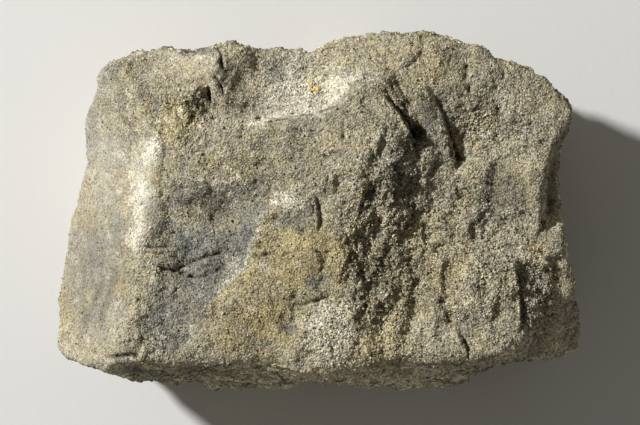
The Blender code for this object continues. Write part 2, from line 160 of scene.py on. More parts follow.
CRACKS = (
    # Top left, down from the edge to the crumbled hollow
    Crack(((-20.6, 34.0), (-19.8, 32.4), (-19.2, 30.8), (-19.1, 29.4), (-18.4, 28.0)), 0.34, 1.2),
    Crack(((-20.8, 27.4), (-20.2, 26.4), (-19.4, 25.4), (-18.9, 24.2), (-18.7, 23.0)), 0.30, 1.4),
    Crack(((-24.2, 21.6), (-23.6, 19.8), (-23.0, 17.6)), 0.32, 0.5),
    Crack(((-23.2, 21.4), (-22.8, 20.0), (-22.7, 18.4)), 0.32, 0.7),
    # The lens-shaped pair on the grey bed
    Crack(((-28.8, -12.0), (-27.2, -11.0), (-25.0, -9.9), (-22.4, -8.9), (-18.6, -8.0)), 0.27, 1.2),
    Crack(((-33.0, -10.4), (-31.0, -11.1), (-28.0, -11.8), (-24.6, -12.9), (-20.6, -12.4)), 0.27, 1.2),
    Crack(((-20.6, -11.6), (-19.6, -11.4), (-18.2, -10.4)), 0.35, 1.0),
    Crack(((-35.4, -6.5), (-34.0, -6.8), (-32.0, -7.0), (-28.8, -6.8)), 0.28, 0.7),
    Crack(((-34.8, -8.2), (-33.0, -7.9), (-31.0, -8.2), (-29.4, -8.5)), 0.28, 0.6),
    # Short ones on the brown bed
    Crack(((-13.4, -9.0), (-12.4, -8.8), (-10.0, -8.4), (-7.6, -8.2)), 0.3, 0.9),
    Crack(((-7.8, -9.4), (-7.2, -8.8), (-5.4, -8.0), (-2.4, -7.6)), 0.25, 0.5),
    Crack(((5.0, 18.4), (5.1, 16.0), (4.9, 13.8)), 0.35, 0.7),
    Crack(((1.9, 7.4), (1.7, 4.8)), 0.3, 0.5),
    # Upright ones at the top right
    Crack(((29.7, 29.8), (29.4, 28.0), (29.6, 26.0)), 0.3, 0.9),
    Crack(((30.0, 25.4), (30.2, 24.4), (30.0, 23.0)), 0.3, 0.9),
    Crack(((36.9, 28.8), (36.6, 26.4)), 0.25, 0.6),
    Crack(((39.5, 21.2), (39.3, 18.8)), 0.25, 0.6),
    Crack(((35.9, 21.2), (35.6, 18.6)), 0.35, 0.8),
    # Thin slivers beside the first of the two steps
    Crack(((12.2, 26.2), (14.4, 22.6), (16.6, 19.8), (18.2, 17.0)), 0.22, 0.8),
    Crack(((13.6, 26.6), (15.6, 23.2), (17.6, 20.2), (19.4, 17.2)), 0.22, 0.7),
    Crack(((15.0, 26.6), (16.8, 23.6), (18.6, 20.6), (20.2, 17.8)), 0.22, 0.6),
    # At the lower left corner
    Crack(((-42.4, -28.7), (-41.0, -28.6), (-38.4, -28.4), (-35.0, -28.5)), 0.5, 1.5),
    Crack(((-35.3, -18.6), (-35.4, -22.0), (-35.0, -25.0), (-35.4, -28.6)), 0.35, 0.5),
    # Round the loose flake
    Crack(((27.4, -23.6), (28.4, -24.6), (29.4, -26.2), (29.8, -27.8), (29.8, -29.6)), 0.26, 0.9),
    # Grooves down the smooth left side
    Crack(((-42.6, -13.0), (-43.6, -15.6), (-45.2, -19.0), (-46.8, -23.4)), 0.9, 0.4),
    Crack(((-39.4, -10.0), (-41.0, -15.0), (-42.8, -19.6), (-44.0, -23.0)), 1.1, 0.35),
)

PITS = (
    # The deep three-cornered hole under the top left face
    (Oval((-21.6, 23.3), (0.55, 2.0), turn=8.0), 1.8),
    (Oval((-23.9, 23.2), (2.3, 2.3)), -1.6),
    (Oval((-21.9, 19.8), (0.5, 1.0), turn=10.0), 0.8),
    # The wedge that opens under the lower end of the first step
    (Oval((19.8, 15.8), (1.7, 2.4), turn=24.0), 2.4),
    # Where the second step ends
    (Oval((28.0, 10.6), (0.9, 1.7), turn=12.0), 1.8),
    (Oval((26.9, 13.2), (0.8, 0.8)), 1.0),
    # Small ones along the scoop's rim and over the stone
    (Oval((-11.8, 18.5), (0.9, 0.5), turn=10.0), 1.0),
    (Oval((-9.3, 17.9), (0.7, 0.4), turn=10.0), 0.8),
    (Oval((-4.9, 19.6), (0.7, 0.3), turn=20.0), 0.7),
    (Oval((-15.2, 14.8), (0.4, 0.7)), 0.7),
    (Oval((10.6, 4.0), (2.2, 0.8), turn=38.0), 0.9),
    (Oval((44.6, -2.6), (0.8, 1.6)), 1.2),
    (Oval((26.2, -20.6), (1.4, 2.2)), 1.0),
    (Oval((-19.4, 29.6), (0.6, 0.6)), 0.8),
    (Oval((-18.2, 28.0), (0.5, 0.4)), 0.8),
    (Oval((8.9, -17.2), (0.8, 0.9)), 0.9),
    (Oval((-36.8, -24.4), (0.9, 2.2), turn=-6.0), 0.4),
)

# How rugged the broken surface is: a level for the upper face and one for the sides, limits, and patches that
# are rougher or smoother
PLAIN_RUGGED = 0.45
SIDES_RUGGED = 1.2
RUGGED_LIMITS = (0.06, 1.3)
RUGGED_RIGHT = (
    Oval((14.0, -4.0), (12.0, 30.0), 0.65, -8.0),
    Oval((31.0, -6.0), (14.0, 24.0), 0.35),
)
RUGGED = RUGGED_RIGHT + (
    Oval((34.0, 16.0), (13.0, 10.0), 0.3),
    Oval((-23.8, 20.6), (4.5, 5.0), 0.7),
    Oval((3.0, -23.0), (9.0, 8.0), 0.15),
    Oval((-33.0, -24.0), (5.0, 7.0), 0.4),
    Oval((43.0, -16.0), (6.0, 10.0), 0.8),
)
FURROWED = (
    Oval((13.0, -3.0), (10.0, 30.0), 0.62, -8.0),
    Oval((31.0, -6.0), (14.0, 24.0), 0.10),
    Oval((30.0, 12.0), (8.0, 6.0), 0.15),
)
SMOOTH = (
    Oval((-34.4, 5.2), (3.8, 16.0), 0.44, 2.0),
    Oval((-46.0, 2.0), (11.5, 40.0), 0.42, 3.0),
    Oval((-28.0, 29.0), (12.0, 6.0), 0.28),
    Oval((21.6, 18.6), (2.0, 4.0), 0.4, -15.0),
    Oval((-5.0, 19.4), (13.0, 2.6), 0.35, 9.0),
    Oval((4.4, 23.6), (3.6, 5.6), 0.4, -24.0),
    Oval((46.8, 7.0), (1.6, 9.0), 0.5, -6.0),
)

# Facets, furrows, beds and what makes their edges uneven

# How steep facets may be
FACET_TILT = 2.6
# The size of each set of chips, its share, its lean and its seed
CHIPS = ((6.5, 1.0, 0.3, 11), (2.9, 0.95, 0.3, 12), (1.4, 0.62, 0.3, 13), (0.8, 0.32, 0.2, 14))
# The furrows' direction in degrees, and the size of each set across, along and down, its share, lean and seed
FURROW_TURN = -12.0
FURROWS = (((3.4, 8.0, 7.0), 0.8, 0.9, 21), ((1.6, 4.2, 4.0), 0.42, 0.9, 22))
# The thickness of each set of beds, its depth and its seed
BEDS = ((7.5, 1.0, 31), (2.4, 0.5, 35))
# The size of the swells that bend the beds, and how far, in shares of a bed's thickness
BED_BENDS = (((22.0, 22.0, 30.0), 0.8), ((6.0, 6.0, 12.0), 0.25))
# The size of the swells that shift places, how far they shift them, and a seed for each axis
FACET_SHIFTS = ((2.6, 0.9, (15, 16, 17)), (1.0, 0.28, (18, 19, 20)))
EDGE_SHIFTS = ((1.3, 0.22, (51, 52)),)
COLOUR_SHIFTS = ((3.0, 1.3, (71, 72)), (1.1, 0.5, (73, 74)))
# How far the furrows' shifts are those of the facets
FURROW_SHIFT = 0.8
# Left of this the stone has its smooth, bleached end, which lacks a share of the chips and of the beds
SMOOTH_END = -36.0
END_LACKS_CHIPS = 0.85
END_LACKS_BEDS = 0.8
# The height of the ripples down that end, and the size of each
RIPPLE = 0.10
RIPPLE_SIZE = (1.2, 9.0, 9.0)
# What is lower than this belongs to the underside
BASE_HEIGHT = 0.35
# How far from its line a ledge is sharpened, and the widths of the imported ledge's edge and of the sharp one
LEDGE_REACH = 4.0
PACKED_EDGE = 2.6
SHARP_EDGE = 0.35
# How far grains stand out in millimetres on the smoothest stone, and how much further on rugged stone
GRAIN_RELIEF = 0.05
RUGGED_RELIEF = 0.11

# Colour zones

# The width of the border between the grey bed and the brown one, their strength next to it, and the border
# itself, walked so that the grey is on the right hand
BORDER_WIDTH = 0.4
BED_STRENGTH = 0.85
BED_BORDER = (
    (-7.4, 5.0), (-9.6, 1.4), (-10.8, -0.6), (-12.0, -4.6), (-13.2, -8.0), (-14.4, -11.2), (-15.6, -12.6),
    (-17.6, -14.0), (-21.2, -17.6), (-24.0, -24.0), (-24.0, -34.0),
)
# The foot of the white coat along the scoop's rim, walked so that the coat is on the right hand
COATED_RIM = (
    (9.4, 28.6), (7.2, 26.2), (5.4, 23.8), (3.6, 21.8), (1.4, 20.6), (-2.6, 19.7), (-6.6, 18.9),
    (-11.2, 17.7), (-15.6, 16.8),
)
GREY_BED = (
    Oval((-22.4, -9.4), (12.5, 9.0), 1.0, 8.0),
    Oval((-29.0, -21.0), (8.0, 9.5), 0.75),
    Oval((-19.6, 3.2), (12.0, 5.0), 0.45),
)
GREY_SPOTS = (
    Oval((-5.0, -1.4), (5.0, 3.2), 0.8),
    Oval((-7.6, 28.0), (3.4, 2.6), 0.8),
    Oval((0.0, -13.8), (3.2, 2.4), 0.9),
    Oval((-5.6, -22.8), (2.4, 2.4), 0.8),
    Oval((-31.8, 21.0), (1.4, 1.6), 0.7),
    Oval((-27.4, 2.6), (2.8, 2.6), 0.8),
    Oval((-30.6, -3.4), (2.6, 2.2), 0.8),
    Oval((17.0, 10.0), (8.0, 8.0), 0.35),
    Oval((24.0, 17.0), (5.0, 9.0), 0.5, -12.0),
    Oval((34.0, -1.0), (5.0, 3.0), 0.45),
    Oval((30.0, -22.0), (4.0, 5.0), 0.4),
    Oval((42.0, -16.0), (4.0, 7.0), 0.5),
    Oval((-45.0, -10.6), (2.6, 6.0), 0.30, -8.0),
    Oval((-41.6, 27.6), (3.4, 2.6), 0.35),
    Oval((-46.6, 12.0), (2.0, 6.0), 0.2),
    Oval((35.0, 4.0), (8.0, 6.0), 0.35),
)
OCHRE = (
    Oval((-2.4, -9.6), (12.0, 10.5), 1.0),
    Oval((-12.4, -21.6), (13.0, 9.5), 0.9),
    Oval((-28.4, 17.6), (6.4, 6.5), 0.6),
    Oval((-31.8, 7.4), (1.3, 5.4), 0.6),
    Oval((-51.4, -18.0), (3.0, 7.0), 0.35),
    Oval((-42.4, -1.6), (1.3, 3.0), 0.5),
    Oval((-14.0, 9.0), (12.0, 6.0), 0.35),
    Oval((12.0, -26.0), (14.0, 6.0), 0.45),
    Oval((19.0, -12.0), (12.0, 18.0), 0.35, -8.0),
    Oval((20.0, 29.0), (14.0, 6.0), 0.25, -12.0),
    Oval((-39.0, -14.0), (2.0, 3.4), 0.5),
    Oval((-45.0, -2.0), (1.6, 4.0), 0.35),
    Oval((-38.6, 27.4), (3.0, 2.2), 0.5, -30.0),
)
THICK_CHALK = (
    Oval((-10.6, 18.6), (6.6, 1.7), 0.40, 8.0),
    Oval((-0.8, 20.8), (6.4, 2.4), 0.60, 14.0),
    Oval((3.4, 23.8), (3.0, 5.0), 0.60, -28.0),
    Oval((9.6, 26.6), (3.0, 1.2), 0.6, 10.0),
    Oval((2.6, -23.8), (7.8, 8.2), 0.62),
)
CHALK = THICK_CHALK + (
    Oval((-32.7, 12.6), (2.4, 5.0), 0.84, -8.0),
    Oval((-34.9, 4.6), (2.0, 6.0), 0.72),
    Oval((-35.7, -3.2), (2.3, 7.4), 0.74, -3.0),
    Oval((-35.2, 1.6), (3.6, 16.0), 0.36),
    Oval((-20.6, 6.2), (8.6, 0.8), 0.5, 3.0),
    Oval((-16.6, 1.6), (2.2, 0.6), 0.4, 45.0),
    Oval((-5.4, 2.4), (5.6, 3.0), 0.6, 10.0),
    Oval((-4.0, 23.0), (12.0, 4.6), 0.35, 10.0),
    Oval((46.4, -7.4), (3.0, 1.4), 0.4),
    Oval((-16.8, -10.4), (1.8, 3.4), 0.35, -30.0),
)
PALE = (
    Oval((-45.0, 4.0), (10.0, 40.0), 1.0, 3.0),
    Oval((-28.0, 29.4), (13.0, 5.4), 0.55),
    Oval((-6.0, 24.0), (16.0, 9.0), 0.75, 10.0),
    Oval((10.0, 31.0), (10.0, 4.0), 0.3),
    Oval((-28.6, 18.0), (6.0, 7.0), 0.5),
    Oval((-34.6, 4.0), (4.4, 18.0), 0.9),
    Oval((18.0, -26.0), (8.0, 5.0), 0.5),
    Oval((26.0, -6.0), (9.0, 12.0), 0.3),
)
# Where the stone is paler (a share above 0) or darker (below 0) than its colours alone make it
TONES = (
    Oval((-28.0, 29.0), (13.0, 6.0), 0.10),
    Oval((-44.0, 15.0), (9.0, 14.0), 0.03),
    Oval((-44.0, -13.0), (10.0, 20.0), -0.22),
    Oval((-39.4, 2.0), (2.6, 9.0), -0.10),
    Oval((-29.0, -20.0), (8.0, 9.0), -0.08),
    Oval((14.0, 8.0), (7.0, 7.0), -0.06),
    Oval((42.0, -15.0), (5.0, 9.0), 0.30),
    Oval((-3.0, 26.5), (15.0, 6.0), 0.26, 10.0),
    Oval((-28.0, 18.0), (6.0, 7.0), 0.18),
    Oval((17.0, -24.0), (8.0, 7.0), 0.18),
    Oval((20.0, 29.0), (9.0, 5.0), 0.14, -15.0),
    Oval((-21.6, 0.4), (8.0, 4.0), -0.24),
    Oval((-16.0, -22.0), (7.0, 6.0), -0.10),
    Oval((35.4, 3.4), (9.0, 7.0), -0.10),
    Oval((34.0, 18.0), (10.0, 8.0), -0.08),
    Oval((14.0, -24.0), (5.0, 7.0), 0.06),
    Oval((6.0, -33.6), (34.0, 4.6), 0.50),
)
# Dark film and stains. Three are painted shadow: the wedge under the first step, the groove down the right
# side and, partly, the recess low on the right.
DIRT_AND_SHADOW = (
    Oval((-23.6, 21.4), (3.4, 4.0), 0.55),
    Oval((-36.4, -25.6), (2.4, 5.0), 0.45, -4.0),
    Oval((12.0, -12.0), (5.0, 9.0), 0.35, -6.0),
    Oval((14.0, 5.0), (5.0, 6.0), 0.35, -30.0),
    Oval((43.0, -16.0), (4.6, 9.0), 0.45),
    Oval((36.0, 4.0), (9.0, 6.5), 0.28),
    Oval((-7.6, 28.2), (3.0, 2.0), 0.25),
    Oval((46.6, 6.0), (1.8, 9.0), 0.8, -6.0),
    Oval((19.6, 15.6), (1.6, 2.4), 1.0, 24.0),
)
IRON_SPOTS = (
    Oval((-0.3, 23.9), (1.3, 1.2), 1.2, 15.0),
    Oval((-1.2, 25.6), (0.8, 1.4), 0.7, 10.0),
    Oval((1.6, -24.6), (1.0, 1.2), 0.5),
    Oval((43.2, -7.4), (2.6, 0.9), 0.5, -10.0),
)
IRON = IRON_SPOTS + (Oval((7.0, -20.4), (2.6, 2.8), 0.25),)
COARSE = (
    Oval((31.8, 15.8), (7.0, 5.0), 1.0),
    Oval((8.4, -0.6), (4.0, 3.0), 0.8),
    Oval((41.8, -16.0), (3.4, 7.0), 1.0),
    Oval((26.6, -19.8), (1.8, 2.6), 1.0),
    Oval((-13.8, -20.4), (2.6, 2.0), 1.0),
    Oval((19.8, 12.8), (3.6, 2.0), 0.8),
    Oval((33.0, -15.0), (8.0, 9.0), 0.45),
    Oval((19.0, -27.0), (9.0, 4.0), 0.35),
)

# Stage and materials

# The lamp's direction along X and Y, its height in degrees, and its distance and width in metres
LIGHT_TOWARDS = (-0.85, 0.45)
LIGHT_HEIGHT = 36.0
LIGHT_DISTANCE = 1.6
LAMP_WIDTH = 0.13
# The height in metres at which the picture's width is measured, the camera's place over the stone, and the
# nearest and furthest that it sees
STONE_MIDDLE = 0.030
CAMERA_ASIDE = (0.0004, -0.0001)
CAMERA_REACH = (0.01, 20.0)
SENSOR_WIDTH = 36.0

# The width in millimetres of the grains that the material draws
DRAWN_GRAIN = 0.30
# How far they differ in shade on smooth stone, and how much more on rough stone
PLAIN_CONTRAST = 0.68
ROUGH_CONTRAST = 0.95
# The places for dark specks on a millimetre, the share of them that hold one, its size as a share of a place,
# and how dark it is
SPECKS_A_MM = 1.1
SPECKS = 0.35
SPECK_SIZE = 0.18
SPECK_STRENGTH = 0.5
# The bump of the drawn grains in metres, and its share on smooth stone
BUMP_DEPTH = 0.0002
PLAIN_BUMP = 0.35
# The tone of a place multiplies its colour by 1 where it is 0.5
DARKEST_TONE = 0.4
TONE_SPAN = 1.2
# How many ragged bits a millimetre of a colour's edge has
RAGGEDNESS = 0.9
# The roughness of quartz grains, as a share of the stone's
QUARTZ_GLOSS = 0.6


# Properties


def colour(name, description, default):
    return FloatVectorProperty(
        name=name, description=description, subtype="COLOR", size=3, min=0.0, max=1.0, default=default
    )


def length(name, description, default):
    return FloatProperty(
        name=name, description=description, default=default, min=0.0, unit="LENGTH", precision=5
    )


class StoneSurface(bpy.types.PropertyGroup):
    """Sizes of the broken surface."""

    voxel: length("Working grid", "Spacing of the grid that the surface is worked on", 0.00034)
    chip: length("Chip relief", "How far the broken chips stand out", 0.00034)
    furrow: length("Furrow relief", "How deep the upright furrows of the falling right half are", 0.00070)
    bed: length("Bed relief", "How deep the beds groove the sides", 0.00060)
    grain: length("Grain size", "Width of a sand grain", 0.00050)
    most_triangles: IntProperty(
        name="Most triangles", description="Triangles that the surface may have", default=194000, min=1000
    )


class StoneColours(bpy.types.PropertyGroup):
    """Colours of the stone and of what lies on it."""

    buff: colour("Buff", "The body of the stone", (0.385, 0.345, 0.243))
    grey: colour("Grey", "The blue-grey bed", (0.200, 0.200, 0.178))
    ochre: colour("Ochre", "The brown bed", (0.39, 0.325, 0.172))
    chalk: colour("Chalk", "The white coating", (0.70, 0.65, 0.52))
    pale: colour("Pale", "The smooth, bleached left side", (0.37, 0.34, 0.268))
    # Also the colour of the painted shade in cracks and hollows and of the painted shadows.
    dirt_and_shade: colour("Dirt and shade", "Dark film in hollows and cracks", (0.060, 0.050, 0.030))
    iron: colour("Iron", "Honey-brown iron stain", (0.52, 0.39, 0.15))


class StageSettings(bpy.types.PropertyGroup):
    """The table, the lights and the camera."""

    floor: colour("Table", "The pale table top", (0.74, 0.73, 0.71))
    floor_width: length("Table width", "Side of the square table top", 3.0)
    camera_height: length("Camera height", "How high the camera stands over the table", 1.53)
    view_width: length("View width", "Width of the picture at the level of the stone's middle", 0.128)
    key: FloatProperty(
        name="Key light", description="Power of the soft lamp", default=34.0, min=0.0, unit="POWER"
    )
    fill: FloatProperty(
        name="Fill", description="Strength of the light from all round", default=0.15, min=0.0
    )
    fill_tint: colour("Fill colour", "Colour of the light from all round", (1.0, 0.96, 0.87))


# Working with points


def ease(value):
    """0 to 1 with level ends."""
    held = np.clip(value, 0.0, 1.0)
    return held * held * (3.0 - 2.0 * held)


def rise(value, start, width):
    """0 up to start, then easing to 1 over a width."""
    return ease((value - start) / width)


def fall(value, end, width):
    """1, then easing to 0 over a width that finishes at end."""
    return ease((end - value) / width)


def crossing(value, width):
    """Easing from 0 to 1 where the value goes through 0."""
    return ease(value / width + 0.5)


def lasting(along, fade_in, fade_out):
    """1 along a line, easing to 0 over a share of it at its start and one at its end."""
    return ease(along / fade_in) * ease((1.0 - along) / fade_out)


def beside(x, y, line):
    """How far each place lies to the right of a line of points, and the share of the line next to it."""
    corners = np.array(line, float)
    lengths = np.linalg.norm(np.diff(corners, axis=0), axis=1)
    starts = np.concatenate([[0.0], np.cumsum(lengths)])
    nearest = np.full(x.shape, np.inf)
    signed = np.zeros(x.shape)
    along = np.zeros(x.shape)
    for start, end, stretch, behind in zip(corners[:-1], corners[1:], lengths, starts):
        ahead = (end - start) / stretch
        dx, dy = x - start[0], y - start[1]
        walked = np.clip(dx * ahead[0] + dy * ahead[1], 0.0, stretch)
        away = np.hypot(dx - walked * ahead[0], dy - walked * ahead[1])
        closer = away < nearest
        side = np.where(dx * ahead[1] - dy * ahead[0] >= 0.0, 1.0, -1.0)
        nearest = np.where(closer, away, nearest)
        signed = np.where(closer, side * away, signed)
        along = np.where(closer, (behind + walked) / starts[-1], along)
    return signed, along


def inside(x, y, oval):
    """1 in the middle of an oval, easing to 0 at its rim."""
    turn = np.radians(oval.turn)
    dx, dy = x - oval.centre[0], y - oval.centre[1]
    across = (dx * np.cos(turn) + dy * np.sin(turn)) / oval.radii[0]
    up = (dy * np.cos(turn) - dx * np.sin(turn)) / oval.radii[1]
    return ease(1.0 - across * across - up * up)


def patches(x, y, ovals):
    """The strongest of several soft patches at each place."""
    most = np.zeros(x.shape)
    for oval in ovals:
        most = np.maximum(most, oval.share * inside(x, y, oval))
    return most


def swell(places, size, seed):
    """Smooth uneven ground from about -1 to 1, whose swells have the given size, or one for each axis."""
    spots = places / size + np.array((seed * 7.31, seed * 3.17, seed * 5.73))
    return np.array([noise.noise(spot) for spot in spots.tolist()])


def shifts(places, sets):
    """Uneven shifts for places, from sets of a swell's size, its reach and a seed for each axis."""
    return sum(
        reach * np.stack([swell(places, size, seed) for seed in seeds], axis=1) for size, reach, seeds in sets
    )


def turned(places, degrees):
    """Places turned about Z."""
    turn = np.radians(degrees)
    x, y, z = places.T
    return np.stack([x * np.cos(turn) + y * np.sin(turn), y * np.cos(turn) - x * np.sin(turn), z], axis=1)


def chips(places, size, seed, hardness=30.0, lean=0.0):
    """Broken facets about as wide as size, which is one number or one for each axis.

    Gives their height, about -1 to 1, and how near a joint each place is. lean makes every facet rise towards
    +X and break off there.
    """
    scaled = places / size
    low = np.floor(scaled.min(axis=0)) - 1.0
    scaled -= low
    cells = np.floor(scaled).astype(int)
    facets = np.random.default_rng(seed).random((*(cells.max(axis=0) + 2), 7), dtype=np.float32)
    heights, weights, strongest = (np.zeros(len(places)) for _ in range(3))
    for step in product((-1, 0, 1), repeat=3):
        near = cells + step
        own = facets[near[:, 0], near[:, 1], near[:, 2]]
        away = scaled - near - own[:, :3]
        weight = np.exp(-hardness * (away * away).sum(axis=1))
        tilt = (own[:, 3:6] - 0.5) * FACET_TILT
        height = (tilt * away).sum(axis=1) + lean * away[:, 0] + own[:, 6] - 0.5
        heights += weight * height
        weights += weight
        strongest = np.maximum(strongest, weight)
    return heights / weights, 1.0 - strongest / weights


def read(items, name, width, kind=float):
    """One property of all a mesh's points, edges or triangles, as rows of numbers."""
    values = np.empty(len(items) * width, kind)
    items.foreach_get(name, values)
    return values.reshape(-1, width)


def points_of(mesh):
    return read(mesh.vertices, "co", 3)


def normals_of(mesh):
    return read(mesh.vertex_normals, "vector", 3)


def place_points(mesh, places):
    mesh.vertices.foreach_set("co", places.ravel())
    mesh.update()


def worked(obj, kind, **settings):
    """The object's mesh after one modifier, which becomes its own."""
    modifier = obj.modifiers.new(kind.title(), kind)
    for name, value in settings.items():
        setattr(modifier, name, value)
    graph = bpy.context.evaluated_depsgraph_get()
    mesh = bpy.data.meshes.new_from_object(obj.evaluated_get(graph))
    obj.modifiers.clear()
    obj.data = mesh
    return mesh


def shown(name, mesh):
    obj = bpy.data.objects.new(name, mesh)
    bpy.context.scene.collection.objects.link(obj)
    return obj


# The broken surface


def ruggedness(x, y):
    rough = PLAIN_RUGGED + patches(x, y, RUGGED)
    return np.clip(rough - patches(x, y, SMOOTH), *RUGGED_LIMITS)


def upper_share(normals):
    """1 on the upper face and 0 on the sides."""
    return rise(normals[:, 2], start=0.15, width=0.4)


def off_table(z):
    """0 at the level underside and 1 from a little above it."""
    return rise(z, start=0.3, width=2.0)


def bed_joint(places):
    """1 on the joints between the beds that show on the sides and 0 inside them, patchily."""
    joint = np.zeros(len(places))
    for thickness, depth, seed in BEDS:
        bend = sum(far * swell(places, size, seed + step) for step, (size, far) in enumerate(BED_BENDS))
        bed = places[:, 2] / thickness + bend
        off_middle = np.abs(bed - np.floor(bed) - 0.5) * 2.0
        patchy = ease(0.6 + swell(places, 8.0, seed + 2))
        joint += depth * rise(off_middle, start=0.55, width=0.35) * patchy
    return joint


def break_surface(mesh, sizes):
    """Chips, furrows and beds, pushed out along the surface."""
    places, normals = points_of(mesh), normals_of(mesh)
    x, y, z = places.T
    upper = upper_share(normals)
    left = fall(x, SMOOTH_END, width=3.0)
    shift = shifts(places, FACET_SHIFTS)
    slanted = turned(places + FURROW_SHIFT * shift, FURROW_TURN)

    chip = sum(share * chips(places + shift, size, seed, lean=lean)[0] for size, share, lean, seed in CHIPS)
    furrow = sum(share * chips(slanted, size, seed, lean=lean)[0] for size, share, lean, seed in FURROWS)
    rugged = ruggedness(x, y) * upper + SIDES_RUGGED * (1.0 - upper) * (1.0 - END_LACKS_CHIPS * left)
    push = sizes.chip / MM * rugged * chip
    push += sizes.furrow / MM * furrow * patches(x, y, FURROWED) * upper
    push -= sizes.bed / MM * bed_joint(places) * (1.0 - upper) * (1.0 - END_LACKS_BEDS * left)
    push += RIPPLE * swell(slanted, RIPPLE_SIZE, 41) * left

    places += normals * (push * off_table(z))[:, None]
    place_points(mesh, places)


def ledge_cut(x, y, ledge):
    """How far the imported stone's rounded ledge has to go down to be a sharp, undercut one."""
    beyond, along = beside(x, y, ledge.line)
    near = fall(np.abs(beyond), LEDGE_REACH, width=2.0)
    sharpened = near * ledge.drop * (crossing(beyond, SHARP_EDGE) - crossing(beyond, PACKED_EDGE))
    hollow = ledge.undercut * np.exp(-(((beyond - SHARP_EDGE) / SHARP_EDGE) ** 2))
    return lasting(along, ledge.fade_in, ledge.fade_out) * (sharpened + hollow)


def crack_cut(x, y, crack):
    beyond, along = beside(x, y, crack.line)
    return lasting(along, 0.2, 0.2) * crack.depth * np.exp(-((beyond / crack.width) ** 2))


def carve_surface(mesh):
    """Sharpen the ledges and cut the cracks and pits, straight down into the upper face."""
    places, normals = points_of(mesh), normals_of(mesh)
    x, y = (places[:, :2] + shifts(places, EDGE_SHIFTS)).T
    openness = np.clip(0.65 + swell(places, 1.1, 53), 0.1, 1.2)
    cut = sum(ledge_cut(x, y, ledge) for ledge in LEDGES)
    cut += openness * sum(crack_cut(x, y, crack) for crack in CRACKS)
    cut += sum(depth * inside(x, y, oval) for oval, depth in PITS)
    places[:, 2] -= cut * rise(normals[:, 2], start=0.1, width=0.3)
    place_points(mesh, places)


def grain_surface(mesh, sizes):
    """Sand grains that stand out of the whole surface but the underside."""
    places, normals = points_of(mesh), normals_of(mesh)
    lump, joint = chips(places, sizes.grain / MM * 1.5, 61, hardness=14.0)
    upper = upper_share(normals)
    rugged = ruggedness(places[:, 0], places[:, 1]) * upper + 0.5 * (1.0 - upper)
    push = (GRAIN_RELIEF + RUGGED_RELIEF * rugged) * (1.5 * lump - 0.6 * rise(joint, start=0.2, width=0.4))
    places += normals * (push * off_table(places[:, 2]))[:, None]
    place_points(mesh, places)


def hollowness(mesh, rounds):
    """How far each point lies below its neighbourhood, in millimetres."""
    places, normals, ends = points_of(mesh), normals_of(mesh), read(mesh.edges, "vertices", 2, int)
    near, far = np.concatenate([ends, ends[:, ::-1]]).T
    count = np.bincount(near, minlength=len(places))
    mean = places
    for _ in range(rounds):
        total = [np.bincount(near, mean[far, axis], len(places)) for axis in range(3)]
        mean = 0.5 * mean + 0.5 * np.stack(total, axis=1) / count[:, None]
    return ((mean - places) * normals).sum(axis=1)


def write_mask(mesh, name, values):
    mask = mesh.attributes.new(name, "FLOAT", "POINT")
    mask.data.foreach_set("value", np.clip(values, 0.0, 1.0).astype(np.float32))


def bed_colours(x, y, beyond):
    """The grey bed and the ochre one. beyond is how far a place lies on the grey side of their border."""
    on_grey = crossing(beyond, BORDER_WIDTH)
    grey_side = np.where(y < 5.0, on_grey, 1.0)
    middle = rise(beyond, start=-30.0, width=10.0) * fall(y, end=8.0, width=4.0)
    middle *= fall(x, end=13.0, width=4.0) * rise(x, start=-34.0, width=4.0)
    bed = patches(x, y, GREY_BED)
    grey = np.maximum(np.where(middle > 0.5, bed * grey_side, bed), patches(x, y, GREY_SPOTS))
    ochre = patches(x, y, OCHRE) * (1.0 - middle * grey_side * rise(x, start=-26.0, width=4.0))
    at_border = BED_STRENGTH * fall(y, end=3.0, width=3.0) * rise(y, start=-21.0, width=5.0)
    on_ochre = crossing(-beyond, BORDER_WIDTH)
    ochre = np.maximum(ochre, at_border * on_ochre * rise(beyond, start=-8.0, width=5.0))
    grey = np.maximum(grey, at_border * on_grey * fall(beyond, end=7.0, width=5.0))
    return grey, ochre


def pale_seam(y, beyond):
    """The thin white seam along the border of the two beds."""
    seam = 0.6 * np.exp(-(((beyond - BORDER_WIDTH) / 0.5) ** 2))
    return seam * fall(y, end=2.0, width=3.0) * rise(y, start=-18.0, width=4.0)


def rim_coat(x, y):
    """The white coat along the scoop's rim, sharp at its foot and fading upwards."""
    above, along = beside(x, y, COATED_RIM)
    coat = 0.85 * crossing(above, 0.3) * fall(above, end=2.2, width=1.7)
    return coat * lasting(along, 0.2, 0.1)


def crack_shade(x, y):
    """Painted shade in the cracks, a little narrower than they are."""
    dark = np.zeros(x.shape)
    for crack in CRACKS:
        aside, along = beside(x, y, crack.line)
        held = lasting(along, 0.15, 0.15) * min(1.0, crack.depth)
        dark = np.maximum(dark, held * np.exp(-((aside / (0.8 * crack.width)) ** 2)))
    return dark


